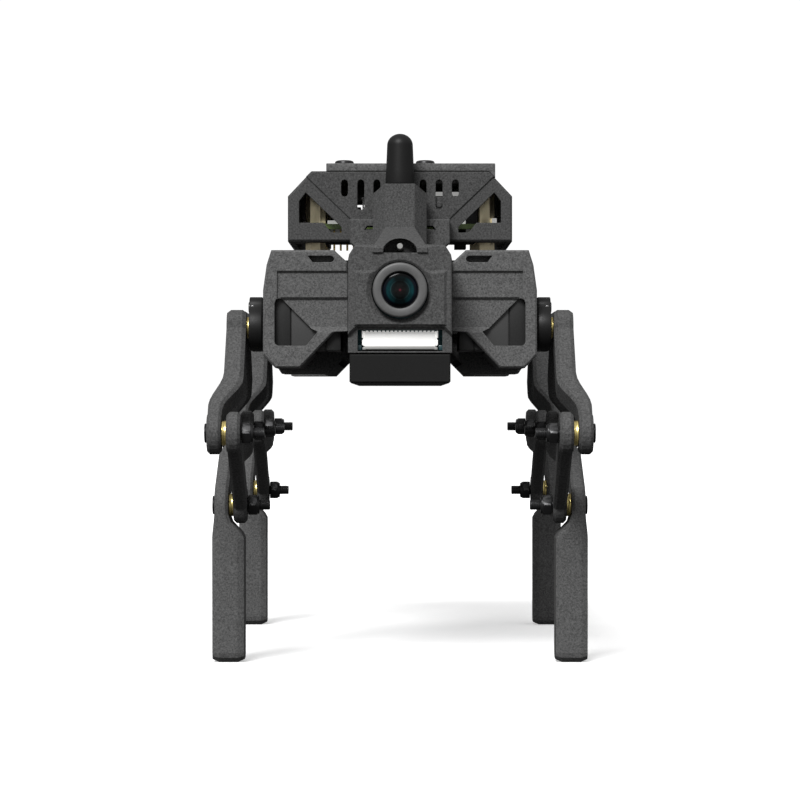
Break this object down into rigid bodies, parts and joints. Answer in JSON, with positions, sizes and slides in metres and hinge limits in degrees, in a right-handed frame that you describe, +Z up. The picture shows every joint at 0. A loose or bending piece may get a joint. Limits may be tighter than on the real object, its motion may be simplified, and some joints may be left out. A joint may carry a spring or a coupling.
{
  "type": "quadruped robot dog",
  "caption": "Small desktop quadruped robot with linkage legs, swinging hip blocks, a camera head and an octagonal computer backpack.",
  "frame": {"origin": "centre of the standing robot's footprint, on the ground", "axes": "the robot faces -Y, its own left side is +X and +Z is up"},
  "size_m": [0.1062, 0.216, 0.1495],
  "materials": {
    "textured_plastic": "dark grey moulded plastic with a fine sand texture",
    "black_plastic": "smooth satin black moulded plastic",
    "servo_plastic": "smooth dark grey servo case",
    "black_steel": "black oxide screws and lock nuts",
    "board_green": "green circuit board with solder mask",
    "lens_black": "black lens barrel, board and socket",
    "brass": "turned brass bushes and standoffs",
    "satin_metal": "satin metal lens ring and plated contacts",
    "lens_glass": "coated glass lens, dark with a teal reflection",
    "white_plastic": "white socket plastic"
  },
  "bodies": {
    "trunk": {"main_frame": "textured_plastic", "battery_case": "black_plastic", "computer_board": "board_green", "backpack_shell": "textured_plastic", "top_cap": "textured_plastic", "antenna": "black_plastic", "head_shell": "textured_plastic", "camera_module": "lens_black", "front_left_swing_servo": "servo_plastic", "front_right_swing_servo": "servo_plastic", "rear_left_swing_servo": "servo_plastic", "rear_right_swing_servo": "servo_plastic"},
    "front_left_hip": {"front_left_hip_block": "textured_plastic", "front_left_front_servo": "servo_plastic", "front_left_rear_servo": "servo_plastic"},
    "front_left_front_crank": {"front_left_front_horn": "black_plastic", "front_left_front_thigh": "textured_plastic", "front_left_front_knee_bolt": "black_steel"},
    "front_left_rear_crank": {"front_left_rear_horn": "black_plastic", "front_left_rear_thigh": "textured_plastic", "front_left_rear_knee_bolt": "black_steel"},
    "front_left_lower_link": {"front_left_link": "textured_plastic"},
    "front_left_foot": {"front_left_shank": "textured_plastic", "front_left_ankle_bolt": "black_steel"},
    "front_right_hip": {"front_right_hip_block": "textured_plastic", "front_right_front_servo": "servo_plastic", "front_right_rear_servo": "servo_plastic"},
    "front_right_front_crank": {"front_right_front_horn": "black_plastic", "front_right_front_thigh": "textured_plastic", "front_right_front_knee_bolt": "black_steel"},
    "front_right_rear_crank": {"front_right_rear_horn": "black_plastic", "front_right_rear_thigh": "textured_plastic", "front_right_rear_knee_bolt": "black_steel"},
    "front_right_lower_link": {"front_right_link": "textured_plastic"},
    "front_right_foot": {"front_right_shank": "textured_plastic", "front_right_ankle_bolt": "black_steel"},
    "rear_left_hip": {"rear_left_hip_block": "textured_plastic", "rear_left_front_servo": "servo_plastic", "rear_left_rear_servo": "servo_plastic"},
    "rear_left_front_crank": {"rear_left_front_horn": "black_plastic", "rear_left_front_thigh": "textured_plastic", "rear_left_front_knee_bolt": "black_steel"},
    "rear_left_rear_crank": {"rear_left_rear_horn": "black_plastic", "rear_left_rear_thigh": "textured_plastic", "rear_left_rear_knee_bolt": "black_steel"},
    "rear_left_lower_link": {"rear_left_link": "textured_plastic"},
    "rear_left_foot": {"rear_left_shank": "textured_plastic", "rear_left_ankle_bolt": "black_steel"},
    "rear_right_hip": {"rear_right_hip_block": "textured_plastic", "rear_right_front_servo": "servo_plastic", "rear_right_rear_servo": "servo_plastic"},
    "rear_right_front_crank": {"rear_right_front_horn": "black_plastic", "rear_right_front_thigh": "textured_plastic", "rear_right_front_knee_bolt": "black_steel"},
    "rear_right_rear_crank": {"rear_right_rear_horn": "black_plastic", "rear_right_rear_thigh": "textured_plastic", "rear_right_rear_knee_bolt": "black_steel"},
    "rear_right_lower_link": {"rear_right_link": "textured_plastic"},
    "rear_right_foot": {"rear_right_shank": "textured_plastic", "rear_right_ankle_bolt": "black_steel"}
  },
  "joints": [
    {"name": "front_left_hip_swing", "type": "hinge", "parent": "trunk", "child": "front_left_hip", "pos_m": [0.0292, -0.068, 0.0943], "axis": [0, -1, 0], "range_deg": [-20, 20]},
    {"name": "front_left_front_hip", "type": "hinge", "parent": "front_left_hip", "child": "front_left_front_crank", "pos_m": [0.0457, -0.075, 0.0943], "axis": [1, 0, 0], "range_deg": [-7.1, 12.9]},
    {"name": "front_left_rear_hip", "type": "hinge", "parent": "front_left_hip", "child": "front_left_rear_crank", "pos_m": [0.0457, -0.061, 0.0943], "axis": [1, 0, 0], "range_deg": [-12.9, 7.1]},
    {"name": "front_left_front_knee", "type": "hinge", "parent": "front_left_front_crank", "child": "front_left_lower_link", "pos_m": [0.0457, -0.10223, 0.065], "axis": [1, 0, 0], "range_deg": [-30.1, 16.6]},
    {"name": "front_left_rear_knee", "type": "hinge", "parent": "front_left_rear_crank", "child": "front_left_foot", "pos_m": [0.0457, -0.03377, 0.065], "axis": [1, 0, 0], "range_deg": [-16.6, 30.1]},
    {"name": "front_right_hip_swing", "type": "hinge", "parent": "trunk", "child": "front_right_hip", "pos_m": [-0.0292, -0.068, 0.0943], "axis": [0, 1, 0], "range_deg": [-20, 20]},
    {"name": "front_right_front_hip", "type": "hinge", "parent": "front_right_hip", "child": "front_right_front_crank", "pos_m": [-0.0457, -0.075, 0.0943], "axis": [1, 0, 0], "range_deg": [-7.1, 12.9]},
    {"name": "front_right_rear_hip", "type": "hinge", "parent": "front_right_hip", "child": "front_right_rear_crank", "pos_m": [-0.0457, -0.061, 0.0943], "axis": [1, 0, 0], "range_deg": [-12.9, 7.1]},
    {"name": "front_right_front_knee", "type": "hinge", "parent": "front_right_front_crank", "child": "front_right_lower_link", "pos_m": [-0.0457, -0.10223, 0.065], "axis": [1, 0, 0], "range_deg": [-30.1, 16.6]},
    {"name": "front_right_rear_knee", "type": "hinge", "parent": "front_right_rear_crank", "child": "front_right_foot", "pos_m": [-0.0457, -0.03377, 0.065], "axis": [1, 0, 0], "range_deg": [-16.6, 30.1]},
    {"name": "rear_left_hip_swing", "type": "hinge", "parent": "trunk", "child": "rear_left_hip", "pos_m": [0.0292, 0.068, 0.0943], "axis": [0, -1, 0], "range_deg": [-20, 20]},
    {"name": "rear_left_front_hip", "type": "hinge", "parent": "rear_left_hip", "child": "rear_left_front_crank", "pos_m": [0.0457, 0.061, 0.0943], "axis": [1, 0, 0], "range_deg": [-7.1, 12.9]},
    {"name": "rear_left_rear_hip", "type": "hinge", "parent": "rear_left_hip", "child": "rear_left_rear_crank", "pos_m": [0.0457, 0.075, 0.0943], "axis": [1, 0, 0], "range_deg": [-12.9, 7.1]},
    {"name": "rear_left_front_knee", "type": "hinge", "parent": "rear_left_front_crank", "child": "rear_left_lower_link", "pos_m": [0.0457, 0.03377, 0.065], "axis": [1, 0, 0], "range_deg": [-30.1, 16.6]},
    {"name": "rear_left_rear_knee", "type": "hinge", "parent": "rear_left_rear_crank", "child": "rear_left_foot", "pos_m": [0.0457, 0.10223, 0.065], "axis": [1, 0, 0], "range_deg": [-16.6, 30.1]},
    {"name": "rear_right_hip_swing", "type": "hinge", "parent": "trunk", "child": "rear_right_hip", "pos_m": [-0.0292, 0.068, 0.0943], "axis": [0, 1, 0], "range_deg": [-20, 20]},
    {"name": "rear_right_front_hip", "type": "hinge", "parent": "rear_right_hip", "child": "rear_right_front_crank", "pos_m": [-0.0457, 0.061, 0.0943], "axis": [1, 0, 0], "range_deg": [-7.1, 12.9]},
    {"name": "rear_right_rear_hip", "type": "hinge", "parent": "rear_right_hip", "child": "rear_right_rear_crank", "pos_m": [-0.0457, 0.075, 0.0943], "axis": [1, 0, 0], "range_deg": [-12.9, 7.1]},
    {"name": "rear_right_front_knee", "type": "hinge", "parent": "rear_right_front_crank", "child": "rear_right_lower_link", "pos_m": [-0.0457, 0.03377, 0.065], "axis": [1, 0, 0], "range_deg": [-30.1, 16.6]},
    {"name": "rear_right_rear_knee", "type": "hinge", "parent": "rear_right_rear_crank", "child": "rear_right_foot", "pos_m": [-0.0457, 0.10223, 0.065], "axis": [1, 0, 0], "range_deg": [-16.6, 30.1]}
  ],
  "couplings": [
    {"joint": "front_left_rear_hip", "follows": "front_left_front_hip", "ratio": -1},
    {"joint": "front_left_front_knee", "follows": "front_left_front_hip", "ratio": -2.33},
    {"joint": "front_left_rear_knee", "follows": "front_left_front_hip", "ratio": 2.33},
    {"joint": "front_right_rear_hip", "follows": "front_right_front_hip", "ratio": -1},
    {"joint": "front_right_front_knee", "follows": "front_right_front_hip", "ratio": -2.33},
    {"joint": "front_right_rear_knee", "follows": "front_right_front_hip", "ratio": 2.33},
    {"joint": "rear_left_rear_hip", "follows": "rear_left_front_hip", "ratio": -1},
    {"joint": "rear_left_front_knee", "follows": "rear_left_front_hip", "ratio": -2.33},
    {"joint": "rear_left_rear_knee", "follows": "rear_left_front_hip", "ratio": 2.33},
    {"joint": "rear_right_rear_hip", "follows": "rear_right_front_hip", "ratio": -1},
    {"joint": "rear_right_front_knee", "follows": "rear_right_front_hip", "ratio": -2.33},
    {"joint": "rear_right_rear_knee", "follows": "rear_right_front_hip", "ratio": 2.33}
  ]
}
